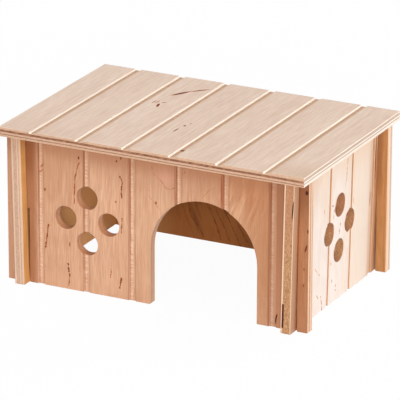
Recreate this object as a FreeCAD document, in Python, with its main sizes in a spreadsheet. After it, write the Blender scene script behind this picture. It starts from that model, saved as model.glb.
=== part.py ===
"""A small wooden house for a hamster, in grooved birch plywood.

Four flat walls lock together at the corners by cross-halving: the front and back walls are slotted
from below, the side walls from above, and each wall runs on past the corner as a short horn. The
slots have some play, so the side walls stand splayed, a little wider apart at the top than on the
floor. A flat roof panel lies loose on the walls. Two battens glued under it drop in beside the side
walls and keep it from sliding, and it lifts straight off for cleaning.

Frame: X along the front, Y towards the back, Z up. The origin is on the floor, under the middle of
the roof. Lengths are in millimetres and angles in degrees.
"""
import FreeCAD, Part
import os

import Sketcher

SIZES = [
    ("body_width", 146.0, "over the side walls, on the floor"),
    ("body_depth", 93.9, "over the front and back walls"),
    ("wall_height", 74.3, "floor to roof"),
    ("wall_ply", 5.2, "thickness of the wall plywood"),
    ("front_horn", 6.4, "front and back walls past the side walls, on the floor"),
    ("side_horn", 5.2, "side walls past the front and back walls"),
    ("side_splay", 1.1, "lean of each side wall out of upright"),
    ("halving_height", 37.4, "height at which the halved walls meet"),
    ("slot_play", 0.15, "clearance on each side of a wall in its slot"),
    ("groove_width", 3.4, "width of the grooves between the planks"),
    ("groove_depth", 0.65, "depth of the grooves between the planks"),
    ("plank_pitch", 24.5, "groove to groove"),
    ("front_grooves", 6, "grooves across the front, the back and the roof"),
    ("side_grooves", 4, "grooves across each side wall"),
    ("door_centre", 25.1, "doorway, right of the middle of the front"),
    ("door_width", 56.0, "between the door jambs"),
    ("door_spring", 28.0, "height at which the round arch begins"),
    ("vent_diameter", 11.5, "each peep hole"),
    ("vent_reach", 11.5, "middle of the cluster to the middle of a peep hole"),
    ("front_vent_place", 36.5, "middle of the front cluster, left of the middle of the front"),
    ("vent_height", 36.2, "middle of each cluster, above the floor"),
    ("roof_ply", 4.7, "thickness of the roof plywood"),
    ("roof_side_lap", 0.6, "roof past the ends of the front wall"),
    ("roof_front_lap", 1.85, "roof past the ends of the side walls"),
    ("batten_width", 8.0, "battens under the roof, across the house"),
    ("batten_height", 6.0, "battens under the roof, upright"),
    ("batten_chamfer", 1.0, "lead-in along the lower edges of a batten"),
    ("roof_play", 0.6, "clearance between the battens and the walls"),
]

FRONT_LENGTH = "(Sizes.body_width + 2 * Sizes.front_horn)"
SIDE_LENGTH = "(Sizes.body_depth + 2 * Sizes.side_horn)"
ROOF_LENGTH = f"({FRONT_LENGTH} + 2 * Sizes.roof_side_lap)"
ROOF_DEPTH = f"({SIDE_LENGTH} + 2 * Sizes.roof_front_lap)"

# A splayed wall stands on its outer lower edge. Its inner faces rise by the ply's own tilt, which is
# taken off its height, so that it meets the roof and the other walls at the same levels as they do.
SPLAY_RISE = "(Sizes.wall_ply * sin(Sizes.side_splay))"
TILTED_PLY = "(Sizes.wall_ply / cos(Sizes.side_splay))"
SIDE_HEIGHT = f"((Sizes.wall_height - {SPLAY_RISE}) / cos(Sizes.side_splay))"
SIDE_HALVING = f"((Sizes.halving_height - {SPLAY_RISE}) / cos(Sizes.side_splay))"

VENTS = 4


def make_document():
    """The document, with every driving size in one spreadsheet."""
    doc = FreeCAD.newDocument("HamsterHouse")
    sheet = doc.addObject("Spreadsheet::Sheet", "Sizes")
    for row, (alias, value, meaning) in enumerate(SIZES, start=1):
        sheet.set(f"A{row}", meaning)
        sheet.set(f"B{row}", str(value))
        sheet.setAlias(f"B{row}", alias)
    doc.recompute()
    return doc


def new_body(doc, label):
    """An empty body, which will be exported under its label."""
    body = doc.addObject("PartDesign::Body", label)
    body.Label = label
    return body


def new_sketch(body, name, role, across="0", along="0", off="0"):
    """A sketch on one of the body's own origin planes, with its own origin moved by expressions."""
    plane = next(item for item in body.Origin.OriginFeatures if item.Role == role)
    sketch = body.newObject("Sketcher::SketchObject", name)
    sketch.AttachmentSupport = [(plane, "")]
    sketch.MapMode = "FlatFace"
    sketch.setExpression("AttachmentOffset.Base.x", across)
    sketch.setExpression("AttachmentOffset.Base.y", along)
    sketch.setExpression("AttachmentOffset.Base.z", off)
    return sketch


def place_point(sketch, curve, end, axis, expression):
    """Hold one end of a curve at a distance from the sketch's origin, given by an expression."""
    value = sketch.evalExpression(expression)
    number = sketch.addConstraint(Sketcher.Constraint(f"Distance{axis}", -1, 1, curve, end, value))
    sketch.setExpression(f"Constraints[{number}]", expression)


def draw_polygon(sketch, corners):
    """Straight lines from corner to corner and back to the first, and their numbers."""
    points = [FreeCAD.Vector(sketch.evalExpression(x), sketch.evalExpression(y), 0) for x, y in corners]
    lines = []
    for start, finish in zip(points, points[1:] + points[:1]):
        lines.append(sketch.addGeometry(Part.LineSegment(start, finish), False))
    for line, following in zip(lines, lines[1:] + lines[:1]):
        sketch.addConstraint(Sketcher.Constraint("Coincident", line, 2, following, 1))
    return lines


def draw_rectangle(sketch, left, bottom, right, top):
    """A rectangle with its four sides held by expressions."""
    low, east, high, west = draw_polygon(
        sketch, [(left, bottom), (right, bottom), (right, top), (left, top)])
    for line in (low, high):
        sketch.addConstraint(Sketcher.Constraint("Horizontal", line))
    for line in (east, west):
        sketch.addConstraint(Sketcher.Constraint("Vertical", line))
    place_point(sketch, low, 1, "X", left)
    place_point(sketch, low, 1, "Y", bottom)
    place_point(sketch, high, 1, "X", right)
    place_point(sketch, high, 1, "Y", top)


def draw_circle(sketch, height, diameter):
    """A circle straight above the sketch's origin."""
    centre = FreeCAD.Vector(0, sketch.evalExpression(height), 0)
    radius = sketch.evalExpression(diameter) / 2
    circle = sketch.addGeometry(Part.Circle(centre, FreeCAD.Vector(0, 0, 1), radius), False)
    sketch.addConstraint(Sketcher.Constraint("PointOnObject", circle, 3, -2))
    place_point(sketch, circle, 3, "Y", height)
    number = sketch.addConstraint(Sketcher.Constraint("Diameter", circle, 2 * radius))
    sketch.setExpression(f"Constraints[{number}]", diameter)


def draw_arched_door(sketch, width, spring):
    """Two upright jambs under a half-round arch, open at the floor, centred on the sketch's origin."""
    half = sketch.evalExpression(width) / 2
    rise = sketch.evalExpression(spring)
    feet = [FreeCAD.Vector(-half, 0, 0), FreeCAD.Vector(half, 0, 0)]
    springs = [FreeCAD.Vector(-half, rise, 0), FreeCAD.Vector(half, rise, 0)]
    crown = FreeCAD.Vector(0, rise + half, 0)
    sill = sketch.addGeometry(Part.LineSegment(feet[0], feet[1]), False)
    right_jamb = sketch.addGeometry(Part.LineSegment(feet[1], springs[1]), False)
    arch = sketch.addGeometry(Part.Arc(springs[1], crown, springs[0]), False)
    left_jamb = sketch.addGeometry(Part.LineSegment(springs[0], feet[0]), False)
    sketch.addConstraint([
        Sketcher.Constraint("Coincident", sill, 2, right_jamb, 1),
        Sketcher.Constraint("Tangent", right_jamb, 2, arch, 1),
        Sketcher.Constraint("Tangent", arch, 2, left_jamb, 1),
        Sketcher.Constraint("Coincident", left_jamb, 2, sill, 1),
        Sketcher.Constraint("Vertical", right_jamb),
        Sketcher.Constraint("Vertical", left_jamb),
        Sketcher.Constraint("PointOnObject", sill, 1, -1),
        Sketcher.Constraint("Symmetric", sill, 1, sill, 2, -1, 1),
    ])
    place_point(sketch, right_jamb, 1, "X", f"{width} / 2")
    place_point(sketch, right_jamb, 2, "Y", spring)


def add_pad(body, sketch, thickness, with_normal):
    """Thicken a sketch by an expression, with its normal or against it."""
    pad = body.newObject("PartDesign::Pad", f"{sketch.Name}_pad")
    pad.Profile = sketch
    pad.Reversed = not with_normal
    pad.setExpression("Length", thickness)
    body.Tip = pad
    return pad


def add_cut(body, sketch, with_normal, depth=None):
    """Cut a sketch into the body by an expression, or right through it."""
    cut = body.newObject("PartDesign::Pocket", f"{sketch.Name}_cut")
    cut.Profile = sketch
    cut.Reversed = with_normal
    if depth is None:
        cut.Type = "ThroughAll"
    else:
        cut.setExpression("Length", depth)
    body.Tip = cut
    return cut


def repeat_along(body, feature, spacing, copies):
    """Repeat a feature at even steps along its own sketch's horizontal axis."""
    row = body.newObject("PartDesign::LinearPattern", f"{feature.Name}_row")
    row.Originals = [feature]
    row.Direction = (feature.Profile[0], ["H_Axis"])
    row.Mode = "Spacing"
    row.setExpression("Offset", spacing)
    row.setExpression("Occurrences", copies)
    body.Tip = row


def repeat_round(body, feature, copies):
    """Repeat a feature all round its own sketch's origin."""
    ring = body.newObject("PartDesign::PolarPattern", f"{feature.Name}_ring")
    ring.Originals = [feature]
    ring.Axis = (feature.Profile[0], ["N_Axis"])
    ring.Angle = 360
    ring.Occurrences = copies
    body.Tip = ring


def mirror_across(body, feature):
    """Repeat a feature on the other side of its own sketch's vertical axis."""
    mirror = body.newObject("PartDesign::Mirrored", f"{feature.Name}_mirror")
    mirror.Originals = [feature]
    mirror.MirrorPlane = (feature.Profile[0], ["V_Axis"])
    body.Tip = mirror


def add_board(body, role, length, bottom, top, thickness, with_normal):
    """A plain board on one of the body's origin planes, centred across it."""
    sketch = new_sketch(body, f"{body.Name}_outline", role)
    draw_rectangle(sketch, f"-{length} / 2", bottom, f"{length} / 2", top)
    return add_pad(body, sketch, thickness, with_normal)


def add_grooves(body, role, bottom, top, copies, with_normal, off="0"):
    """The row of shallow grooves that make one board look like a row of planks."""
    sketch = new_sketch(body, f"{body.Name}_groove", role, off=off)
    first = f"-({copies} - 1) / 2 * Sizes.plank_pitch"
    draw_rectangle(sketch, f"{first} - Sizes.groove_width / 2", bottom,
                   f"{first} + Sizes.groove_width / 2", top)
    groove = add_cut(body, sketch, with_normal, "Sizes.groove_depth")
    repeat_along(body, groove, "Sizes.plank_pitch", copies)


def add_vents(body, role, place, with_normal):
    """A diamond of round peep holes through the board."""
    sketch = new_sketch(body, f"{body.Name}_vent", role, across=place, along="Sizes.vent_height")
    draw_circle(sketch, "Sizes.vent_reach", "Sizes.vent_diameter")
    vent = add_cut(body, sketch, with_normal)
    repeat_round(body, vent, VENTS)


def add_slots(body, role, inner, outer, bottom, top, with_normal):
    """The pair of slots that halve a wall over its neighbours."""
    sketch = new_sketch(body, f"{body.Name}_slot", role)
    draw_rectangle(sketch, inner, bottom, outer, top)
    slot = add_cut(body, sketch, with_normal)
    mirror_across(body, slot)


def make_long_wall(doc, label, side):
    """The front wall (side -1) or the back wall (side 1), slotted from below.

    The plane through the body's origin is the wall's outer face. A slot lets in a splayed side wall,
    so it runs from that wall's inner face on the floor to its outer face at the top of the slot.
    """
    body = new_body(doc, label)
    with_normal = side > 0
    add_board(body, "XZ_Plane", FRONT_LENGTH, "0", "Sizes.wall_height", "Sizes.wall_ply", with_normal)
    add_slots(
        body, "XZ_Plane",
        f"Sizes.body_width / 2 - {TILTED_PLY} - Sizes.slot_play",
        "Sizes.body_width / 2 + Sizes.halving_height * tan(Sizes.side_splay) + Sizes.slot_play",
        "0", "Sizes.halving_height + Sizes.slot_play", with_normal)
    add_grooves(body, "XZ_Plane", "0", "Sizes.wall_height", "Sizes.front_grooves", with_normal)
    body.setExpression("Placement.Base.y", f"{side} * Sizes.body_depth / 2")
    return body


def open_front(body):
    """The doorway and the peep holes, which only the front wall has."""
    door = new_sketch(body, "door", "XZ_Plane", across="Sizes.door_centre")
    draw_arched_door(door, "Sizes.door_width", "Sizes.door_spring")
    add_cut(body, door, False)
    add_vents(body, "XZ_Plane", "-Sizes.front_vent_place", False)


def make_side_wall(doc, label, side):
    """The left wall (side -1) or the right wall (side 1), slotted from above and splayed.

    The plane through the body's origin is the wall's outer face, and the wall leans about that
    face's lower edge, on which it stands.
    """
    body = new_body(doc, label)
    with_normal = side < 0
    add_board(body, "YZ_Plane", SIDE_LENGTH, "0", SIDE_HEIGHT, "Sizes.wall_ply", with_normal)
    add_slots(
        body, "YZ_Plane",
        "Sizes.body_depth / 2 - Sizes.wall_ply - Sizes.slot_play",
        "Sizes.body_depth / 2 + Sizes.slot_play",
        SIDE_HALVING, SIDE_HEIGHT, with_normal)
    add_grooves(body, "YZ_Plane", "0", SIDE_HEIGHT, "Sizes.side_grooves", with_normal)
    body.Placement.Rotation = FreeCAD.Rotation(FreeCAD.Vector(0, side, 0), 1)
    body.setExpression("Placement.Rotation.Angle", "Sizes.side_splay")
    body.setExpression("Placement.Base.x", f"{side} * Sizes.body_width / 2")
    return body


def open_right_wall(body):
    """The peep holes in the middle of the right wall; the left wall has none."""
    add_vents(body, "YZ_Plane", "0", False)


def make_roof_panel(doc):
    """The flat roof, grooved on top from front to back."""
    body = new_body(doc, "roof_panel")
    add_board(body, "XY_Plane", ROOF_LENGTH, f"-{ROOF_DEPTH} / 2", f"{ROOF_DEPTH} / 2",
              "Sizes.roof_ply", True)
    add_grooves(body, "XY_Plane", f"-{ROOF_DEPTH} / 2", f"{ROOF_DEPTH} / 2",
                "Sizes.front_grooves", False, off="Sizes.roof_ply")
    body.setExpression("Placement.Base.z", "Sizes.wall_height")
    return body


def lowest_face(feature):
    """The name of a feature's lowest face."""
    heights = [face.CenterOfMass.z for face in feature.Shape.Faces]
    return f"Face{heights.index(min(heights)) + 1}"


def make_batten(doc, label, side):
    """A strip glued under the roof, just inside a side wall and just clear of the long walls."""
    body = new_body(doc, label)
    length = "(Sizes.body_depth - 2 * Sizes.wall_ply - 2 * Sizes.roof_play)"
    strip = add_board(body, "XY_Plane", "Sizes.batten_width", f"-{length} / 2", f"{length} / 2",
                      "Sizes.batten_height", False)
    doc.recompute()
    lead_in = body.newObject("PartDesign::Chamfer", f"{label}_lead_in")
    lead_in.Base = (strip, [lowest_face(strip)])
    lead_in.setExpression("Size", "Sizes.batten_chamfer")
    body.Tip = lead_in
    wall_inside = (f"(Sizes.body_width / 2 - {TILTED_PLY}"
                   " + (Sizes.wall_height - Sizes.batten_height) * tan(Sizes.side_splay))")
    body.setExpression("Placement.Base.x",
                       f"{side} * ({wall_inside} - Sizes.roof_play - Sizes.batten_width / 2)")
    body.setExpression("Placement.Base.z", "Sizes.wall_height")
    return body


def check_document(doc, bodies):
    """Stop if an object has failed, a cut has missed or a sub-part is not one sound solid."""
    for item in doc.Objects:
        if "Invalid" in item.State or "Error" in item.State:
            raise RuntimeError(f"{item.Label} failed: {item.State}")
        if item.TypeId in ("PartDesign::Pocket", "PartDesign::Chamfer"):
            if item.Shape.Volume >= item.BaseFeature.Shape.Volume:
                raise RuntimeError(f"{item.Label} cuts nothing")
    for body in bodies:
        if body.Shape.isNull() or not body.Shape.isValid() or len(body.Shape.Solids) != 1:
            raise RuntimeError(f"{body.Label} is not one valid solid")


def export_bodies(bodies):
    """Write each sub-part to its own file."""
    os.makedirs("parts", exist_ok=True)
    for body in bodies:
        body.Shape.exportStep(os.path.join("parts", f"{body.Label}.step"))
        print(f"{body.Label:12s} {body.Shape.Volume / 1000:8.2f} cm3  {len(body.Shape.Faces)} faces")


def build_house():
    """The whole house, in the order in which it is put together."""
    doc = make_document()
    walls = [
        make_side_wall(doc, "left_wall", -1),
        make_side_wall(doc, "right_wall", 1),
        make_long_wall(doc, "front_wall", -1),
        make_long_wall(doc, "back_wall", 1),
    ]
    open_right_wall(walls[1])
    open_front(walls[2])
    roof = [
        make_roof_panel(doc),
        make_batten(doc, "left_batten", -1),
        make_batten(doc, "right_batten", 1),
    ]
    doc.recompute()
    check_document(doc, walls + roof)
    export_bodies(walls + roof)


build_house()
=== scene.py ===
"""Looks of a small plywood house for hamsters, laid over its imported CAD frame.

The house is four grooved boards that slot together, and a grooved roof that lifts off. Two
battens under the roof keep it in its place.
"""

import math

import bpy
from mathutils import Matrix, Vector

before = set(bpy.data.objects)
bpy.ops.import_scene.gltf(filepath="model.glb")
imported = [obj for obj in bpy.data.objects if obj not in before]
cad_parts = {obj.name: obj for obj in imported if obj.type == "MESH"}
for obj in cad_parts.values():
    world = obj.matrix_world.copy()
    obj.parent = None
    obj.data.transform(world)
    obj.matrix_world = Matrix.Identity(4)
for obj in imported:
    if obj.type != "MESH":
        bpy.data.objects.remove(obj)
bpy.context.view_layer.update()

# --------------------------------------
# Table, lamps and camera
# The house stands on a plain matt white table in a pale studio. Five soft lamps stand round
# it: one behind on the right, two at the front, one above and one on the left.
# --------------------------------------


def set_up(name, data):
    """Makes an object of its data and stands it in the studio."""
    made = bpy.data.objects.new(name, data)
    bpy.context.scene.collection.objects.link(made)
    return made


def bare_tree(owner):
    """The emptied node tree of a material or of the world."""
    owner.use_nodes = True
    owner.node_tree.nodes.clear()
    return owner.node_tree


def add(tree, kind, feeds=(), **settings):
    """Puts a shader node in a tree and feeds its sockets with values or with other sockets."""
    made = tree.nodes.new("ShaderNode" + kind)
    for name, value in settings.items():
        setattr(made, name, value)
    for socket, feed in dict(feeds).items():
        if isinstance(feed, bpy.types.NodeSocket):
            tree.links.new(feed, made.inputs[socket])
        else:
            made.inputs[socket].default_value = feed
    return made


def calc(tree, operation, first, second=0.0):
    """One step of arithmetic between numbers or sockets."""
    return add(tree, "Math", {0: first, 1: second}, operation=operation).outputs[0]


def between(tree, share, first, second):
    """The level that lies a share of the way from the first to the second."""
    return add(tree, "Mix", {0: share, 2: first, 3: second}, data_type="FLOAT").outputs[0]


table_reach = 4.0
table_albedo = 0.86
table_shown = 0.95     # the white of the table where the camera sees it
table_glow = 0.96      # share of the table's look that is plain white, the rest takes the shadow
plain_white = (1, 1, 1, 1)

table_mesh = bpy.data.meshes.new("table_top")
table_mesh.from_pydata(
    [(-table_reach, -table_reach, 0), (table_reach, -table_reach, 0),
     (table_reach, table_reach, 0), (-table_reach, table_reach, 0)],
    [], [(0, 1, 2, 3)])
table_top = set_up("table_top", table_mesh)

table_paint = bpy.data.materials.new("table_paint")
tree = bare_tree(table_paint)
lit = add(tree, "BsdfDiffuse", {"Color": (table_albedo,) * 3 + (1,)})
shaded = add(tree, "BsdfDiffuse", {"Color": (table_shown,) * 3 + (1,)})
glow = add(tree, "Emission", {"Color": plain_white, "Strength": 1.0})
shown = add(tree, "MixShader", {0: table_glow, 1: shaded.outputs[0], 2: glow.outputs[0]})
ray = add(tree, "LightPath")
mirrored = calc(tree, "ADD", ray.outputs["Is Glossy Ray"], ray.outputs["Is Transmission Ray"])
seen = calc(tree, "MINIMUM", calc(tree, "ADD", ray.outputs["Is Camera Ray"], mirrored), 1.0)
finish = add(tree, "MixShader", {0: seen, 1: lit.outputs[0], 2: shown.outputs[0]})
add(tree, "OutputMaterial", {"Surface": finish.outputs[0]})
table_mesh.materials.append(table_paint)

sky_level = 0.34
sky_tint = (1.0, 0.99, 0.98, 1)
studio = bpy.data.worlds.new("studio")
bpy.context.scene.world = studio
tree = bare_tree(studio)
ray = add(tree, "LightPath")
level = between(tree, ray.outputs["Is Camera Ray"], sky_level, 1.0)
sky = add(tree, "Background", {"Color": sky_tint, "Strength": level})
add(tree, "OutputWorld", {"Surface": sky.outputs[0]})

house_middle = Vector((0, 0, 0.04))


def hang_lamp(name, turn, rise, distance, size, share, tint):
    """Aims a square soft lamp at the house, from a turn and a rise in degrees.

    A share of 1 lights a facing surface as it is written.
    """
    data = bpy.data.lights.new(name, "AREA")
    data.shape = "SQUARE"
    data.size = size
    data.energy = share * math.pi ** 2 * distance ** 2
    data.color = tint
    turn = math.radians(turn)
    rise = math.radians(rise)
    out = Vector((math.cos(rise) * math.cos(turn), math.cos(rise) * math.sin(turn), math.sin(rise)))
    lamp = set_up(name, data)
    lamp.location = house_middle + out * distance
    lamp.rotation_mode = "QUATERNION"
    lamp.rotation_quaternion = (-out).to_track_quat("-Z", "Y")


hang_lamp("key_lamp", 60, 18, 2.0, 1.2, 0.40, (1.0, 0.985, 0.96))
hang_lamp("cross_lamp", -31, 10, 2.2, 0.7, 0.33, (1.0, 0.98, 0.95))
hang_lamp("fill_lamp", -63, 18, 2.6, 0.5, 0.40, (1.0, 0.975, 0.94))
hang_lamp("top_lamp", -70, 55, 2.0, 1.4, 0.32, (1.0, 0.985, 0.97))
hang_lamp("side_lamp", 160, 16, 2.2, 1.2, 0.40, (1.0, 0.985, 0.96))

camera_turn = math.radians(26.526)
camera_rise = math.radians(20.0)
camera_roll = math.radians(0.185)
camera_spot = Vector((0.799569, -1.601985, 0.689469))
camera_data = bpy.data.cameras.new("camera")
camera_data.sensor_width = 36.0
camera_data.lens = 357.35
camera_data.clip_start = 0.1
camera_data.clip_end = 20.0
camera = set_up("camera", camera_data)
bpy.context.scene.camera = camera
back = Vector((math.sin(camera_turn) * math.cos(camera_rise),
               -math.cos(camera_turn) * math.cos(camera_rise),
               math.sin(camera_rise)))
level_right = Vector((math.cos(camera_turn), math.sin(camera_turn), 0))
level_up = back.cross(level_right)
right = math.cos(camera_roll) * level_right + math.sin(camera_roll) * level_up
up = math.cos(camera_roll) * level_up - math.sin(camera_roll) * level_right
aim = Matrix((right, up, back)).transposed().to_4x4()
camera.matrix_world = Matrix.Translation(camera_spot) @ aim
bpy.context.scene.view_settings.view_transform = "Standard"

# --------------------------------------
# Side walls
# Two boards of peeled birch plywood stand first, grain upright. Each is milled with four
# plank grooves and slotted from above at both ends, and the right one has a ring of four vents.
# --------------------------------------


def tone(shade):
    """A shade in screen values from 0 to 255, turned to the linear values that nodes take."""
    linear = [(c / 255) / 12.92 if c / 255 <= 0.04045 else ((c / 255 + 0.055) / 1.055) ** 2.4
              for c in shade]
    return (*linear, 1.0)


def times(tree, first, second):
    """One level times another."""
    return calc(tree, "MULTIPLY", first, second)


def part_of(tree, value, share):
    """How far a noise or figure stands from its middle, times its share."""
    return times(tree, calc(tree, "SUBTRACT", value, 0.5), share)


def ease(tree, value, low, high):
    """0 below low, 1 above high, and smooth between them. High may be the smaller one."""
    step = add(tree, "MapRange", {"Value": value, "From Min": low, "From Max": high},
               interpolation_type="SMOOTHSTEP")
    return step.outputs[0]


def mix_tones(tree, share, first, second, mode="MIX"):
    """Lays the second colour over the first by a share of it."""
    step = add(tree, "Mix", {0: share, 6: first, 7: second}, data_type="RGBA", blend_type=mode)
    return step.outputs[2]


def vector_calc(tree, operation, first, second):
    """One step of arithmetic between vectors."""
    return add(tree, "VectorMath", {0: first, 1: second}, operation=operation).outputs[0]


def dot(tree, first, second):
    """How far one vector reaches along another."""
    return add(tree, "VectorMath", {0: first, 1: second}, operation="DOT_PRODUCT").outputs[1]


def level_of(tree, vector, axis):
    """A vector's level along one axis: 0, 1 or 2."""
    return dot(tree, vector, [1.0 if axis == number else 0.0 for number in range(3)])


def push_aside(tree, place, amount):
    """A place moved across the board by an amount."""
    push = add(tree, "CombineXYZ", {0: amount, 1: 0.0, 2: 0.0}).outputs[0]
    return vector_calc(tree, "ADD", place, push)


def grain_noise(tree, place, waves, detail, roughness):
    """Noise with its waves to the millimetre across, along and outward."""
    drawn = vector_calc(tree, "MULTIPLY", place, waves)
    made = add(tree, "TexNoise", {"Vector": drawn, "Scale": 1.0, "Detail": detail,
                                  "Roughness": roughness})
    return made.outputs[0]


def open_group(name, inputs, outputs):
    """Starts a shader node group, with inputs by name and usual value, and outputs by name."""
    group = bpy.data.node_groups.new(name, "ShaderNodeTree")
    for label, value in inputs.items():
        kind = "NodeSocketVector" if isinstance(value, tuple) else "NodeSocketFloat"
        group.interface.new_socket(label, in_out="INPUT", socket_type=kind).default_value = value
    for label in outputs:
        group.interface.new_socket(label, in_out="OUTPUT", socket_type="NodeSocketFloat")
    way_in = group.nodes.new("NodeGroupInput")
    way_out = group.nodes.new("NodeGroupOutput")
    return group, way_in.outputs, way_out.inputs


def close_group(group, way_out, results):
    """Joins the results to the group's outputs."""
    for label, socket in results.items():
        group.links.new(socket, way_out[label])


def place_group(tree, group, feeds):
    """Puts a node group in a material with its own values."""
    return add(tree, "Group", feeds, node_tree=group).outputs


# The figure of peeled timber: fibres, short pores, slow patches and bands of colour, and flecks.
seed_step = (31.7, 57.3, 9.1)          # millimetres from one seed to the next
sway_waves = (0.03, 0.025, 0.03)       # waves to the millimetre across, along and outward
fibre_waves = (1.1, 0.018, 1.1)
pore_waves = (3.4, 0.11, 3.4)
patch_waves = (0.05, 0.014, 0.05)
ring_waves = (0.040, 0.016, 0.040)
ripple_waves = (0.35, 0.22, 0.35)
ripple_share = 0.035
fleck_cells = (0.22, 0.045, 0.22)
fleck_start = 0.78
fleck_sure = 0.92
fleck_reach = 0.13
fleck_core = 0.05
grain_low = 0.36
grain_high = 0.64

timber_figure, given, wanted = open_group(
    "timber_figure",
    {"Place": (0, 0, 0), "Seed": 0.0, "Sway": 2.0, "Growth Spread": 5.0},
    ("Fibre", "Pores", "Patches", "Growth Bands", "Flecks"))
tree = timber_figure
offset = add(tree, "VectorMath", {0: seed_step, 3: given["Seed"]}, operation="SCALE").outputs[0]
moved = vector_calc(tree, "ADD", given["Place"], offset)
sway = part_of(tree, grain_noise(tree, moved, sway_waves, 1.0, 0.5), given["Sway"])
bent = push_aside(tree, moved, sway)
fibre = grain_noise(tree, bent, fibre_waves, 4.0, 0.72)
pores = ease(tree, grain_noise(tree, bent, pore_waves, 3.0, 0.6), grain_low, grain_high)
patches = grain_noise(tree, moved, patch_waves, 2.0, 0.5)
slow = grain_noise(tree, moved, ring_waves, 1.0, 0.4)
ripple = times(tree, grain_noise(tree, moved, ripple_waves, 1.0, 0.5), ripple_share)
rings = times(tree, calc(tree, "ADD", slow, ripple), given["Growth Spread"])
bands = times(tree, calc(tree, "PINGPONG", rings, 0.5), 2.0)
fleck_grid = vector_calc(tree, "MULTIPLY", bent, fleck_cells)
cell = add(tree, "TexVoronoi", {"Vector": fleck_grid, "Scale": 1.0, "Randomness": 1.0})
lot = add(tree, "SeparateColor", {0: cell.outputs["Color"]}).outputs[0]
rare = ease(tree, lot, fleck_start, fleck_sure)
near = ease(tree, cell.outputs["Distance"], fleck_reach, fleck_core)
close_group(tree, wanted, {"Fibre": fibre, "Pores": pores, "Patches": patches,
                           "Growth Bands": bands, "Flecks": times(tree, rare, near)})

# Where a point lies in the board: which ply, on end grain or not, on a face or in a groove.
glue_waves = (0.06, 0.06, 0.02)
glue_wander = 0.35
ply_blur = 0.07
glue_reach = 0.14
glue_core = 0.03
end_start = 0.2         # a surface's share of an axis, from which it counts as an end
end_sure = 0.9
sheet_start = 0.35      # and from which it counts as a face or a back
sheet_sure = 0.75
groove_start = 0.42     # depth in millimetres, from which a surface is a groove's floor
groove_sure = 0.5

ply_layers, given, wanted = open_group(
    "ply_layers",
    {"Place": (0, 0, 0), "Facing": (0, 0, 1), "First Glue": 1.0, "Second Glue": 2.6,
     "Third Glue": 3.6, "Fourth Glue": 4.1, "Drift": 0.0, "End Rise": 0.0},
    ("Cross Ply", "End Grain", "Glue Line", "Face", "Back", "Groove Floor"))
tree = ply_layers
spot = add(tree, "SeparateXYZ", {0: given["Place"]}).outputs
facing = add(tree, "SeparateXYZ", {0: given["Facing"]}).outputs
end_of_long = ease(tree, calc(tree, "ABSOLUTE", facing[1]), end_start, end_sure)
end_of_cross = ease(tree, calc(tree, "ABSOLUTE", facing[0]), end_start, end_sure)
wander = part_of(tree, grain_noise(tree, given["Place"], glue_waves, 1.0, 0.5), glue_wander)
lean = times(tree, spot[0], given["Drift"])
rise = times(tree, end_of_cross, given["End Rise"])
depth = times(tree, spot[2], -1.0)
uneven = calc(tree, "ADD", wander, calc(tree, "ADD", lean, rise))
wavy = calc(tree, "ADD", depth, uneven)
steps = []
for glue in ("First Glue", "Second Glue", "Third Glue", "Fourth Glue"):
    away = calc(tree, "SUBTRACT", wavy, given[glue])
    steps.append((ease(tree, away, -ply_blur, ply_blur),
                  ease(tree, calc(tree, "ABSOLUTE", away), glue_reach, glue_core)))
first_cross = calc(tree, "SUBTRACT", steps[0][0], steps[1][0])
second_cross = calc(tree, "SUBTRACT", steps[2][0], steps[3][0])
cross = calc(tree, "ADD", first_cross, second_cross)
glue_line = calc(tree, "MAXIMUM", calc(tree, "MAXIMUM", steps[0][1], steps[1][1]),
                 calc(tree, "MAXIMUM", steps[2][1], steps[3][1]))
outward = ease(tree, facing[2], sheet_start, sheet_sure)
inward = ease(tree, facing[2], -sheet_start, -sheet_sure)
below = ease(tree, depth, groove_start, groove_sure)
close_group(tree, wanted, {
    "Cross Ply": cross, "End Grain": between(tree, cross, end_of_long, end_of_cross),
    "Glue Line": glue_line, "Face": times(tree, outward, calc(tree, "SUBTRACT", 1.0, below)),
    "Back": inward, "Groove Floor": times(tree, outward, below)})

# One mark on a board, such as a gum streak, pin knot or split, or a patch of painted shade; also
# the shape of a cloud.
torn_waves = (2.2, 0.5, 2.2)

timber_and_shade_mark, given, wanted = open_group(
    "timber_and_shade_mark",
    {"Place": (0, 0, 0), "Centre": (0, 0, 0), "Half Width": 0.4, "Half Length": 3.0, "Turn": 0.0,
     "Bend": 0.0, "Softness": 0.6, "Ragged": 0.5, "Square": 0.0},
    ("Mask",))
tree = timber_and_shade_mark
arm = vector_calc(tree, "SUBTRACT", given["Place"], given["Centre"])
turned = add(tree, "VectorRotate", {"Vector": arm, "Angle": given["Turn"]},
             rotation_type="Z_AXIS").outputs[0]
along = calc(tree, "DIVIDE", level_of(tree, turned, 1), given["Half Length"])
bow = times(tree, times(tree, along, along), given["Bend"])
across = calc(tree, "SUBTRACT", level_of(tree, turned, 0), bow)
across = calc(tree, "DIVIDE", across, given["Half Width"])
squares = calc(tree, "ADD", times(tree, along, along), times(tree, across, across))
box_reach = calc(tree, "MAXIMUM", calc(tree, "ABSOLUTE", along), calc(tree, "ABSOLUTE", across))
reach = between(tree, given["Square"], calc(tree, "SQRT", squares), box_reach)
torn = part_of(tree, grain_noise(tree, given["Place"], torn_waves, 3.0, 0.6), given["Ragged"])
inner = calc(tree, "SUBTRACT", 1.0, given["Softness"])
close_group(tree, wanted, {"Mask": ease(tree, calc(tree, "ADD", reach, torn), 1.0, inner)})

# One straight piece of a fine vein, such as a growth ring that the peeling knife has crossed.
wobble_waves = (0.5, 0.5, 0.5)
wobble_reach = 0.9
break_waves = (0.45, 0.45, 0.45)
break_low = 0.36
break_high = 0.62
thinnest = 0.12
thickening = 1.3
vein_core = 0.2

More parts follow.
